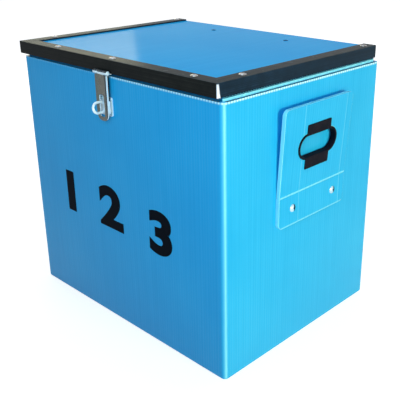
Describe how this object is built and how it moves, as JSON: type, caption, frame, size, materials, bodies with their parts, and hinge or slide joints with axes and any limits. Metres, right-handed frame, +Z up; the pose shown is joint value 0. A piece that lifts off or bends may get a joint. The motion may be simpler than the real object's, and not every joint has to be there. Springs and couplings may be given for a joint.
{
  "type": "ballot box",
  "caption": "Folded fluted-board box with a hinged lid edged in plastic angle, a padlock hasp at the front and fold-out carrying flaps on both sides.",
  "frame": {"origin": "centre of the base, on the surface that it stands on", "axes": "+Z up, -Y out of the front with the hasp, +X to the right seen from the front"},
  "size_m": [0.479, 0.3724, 0.4289],
  "materials": {
    "fluted_board": "satin blue twin-wall board with fine upright flutes",
    "edge_trim": "black angle, half gloss",
    "grip_plastic": "black moulded, fine grain",
    "hasp_steel": "bright plated steel, lightly scuffed",
    "rivet_metal": "plain blind rivets"
  },
  "bodies": {
    "box": {"outer_sleeve": "fluted_board", "inner_liner": "fluted_board", "front_floor_flap": "fluted_board", "rear_floor_flap": "fluted_board", "left_floor_flap": "fluted_board", "right_floor_flap": "fluted_board", "floor_board": "fluted_board", "staple_plate": "hasp_steel", "staple_backer": "hasp_steel", "staple_rivets": "rivet_metal", "padlock_eye": "hasp_steel", "right_handle_strip": "fluted_board", "right_handle_rivets": "rivet_metal", "right_handle_washers": "rivet_metal", "left_handle_strip": "fluted_board", "left_handle_rivets": "rivet_metal", "left_handle_washers": "rivet_metal"},
    "lid": {"lid_panel": "fluted_board", "hinge_flap": "fluted_board", "hinge_rivets": "rivet_metal", "hinge_washers": "rivet_metal", "front_trim": "edge_trim", "right_trim": "edge_trim", "left_trim": "edge_trim", "front_trim_rivets": "rivet_metal", "right_trim_rivets": "rivet_metal", "left_trim_rivets": "rivet_metal", "hasp_leaf": "hasp_steel", "hasp_leaf_rivet": "rivet_metal", "hasp_pin": "hasp_steel"},
    "hasp_strap": {"hasp_strap": "hasp_steel"},
    "right_handle": {"right_handle_flap": "fluted_board", "right_grip": "grip_plastic", "right_grip_ring": "grip_plastic"},
    "left_handle": {"left_handle_flap": "fluted_board", "left_grip": "grip_plastic", "left_grip_ring": "grip_plastic"}
  },
  "joints": [
    {"name": "lid_hinge", "type": "hinge", "parent": "box", "child": "lid", "pos_m": [0, 0.173, 0.4194], "axis": [-1, 0, 0], "range_deg": [0, 180]},
    {"name": "hasp_swing", "type": "hinge", "parent": "lid", "child": "hasp_strap", "pos_m": [-0.0075, -0.18, 0.4084], "axis": [-1, 0, 0], "range_deg": [0, 160]},
    {"name": "right_handle_fold", "type": "hinge", "parent": "box", "child": "right_handle", "pos_m": [0.231, 0.008, 0.248], "axis": [0, 1, 0], "range_deg": [0, 120]},
    {"name": "left_handle_fold", "type": "hinge", "parent": "box", "child": "left_handle", "pos_m": [-0.231, 0.008, 0.248], "axis": [0, -1, 0], "range_deg": [0, 120]}
  ]
}
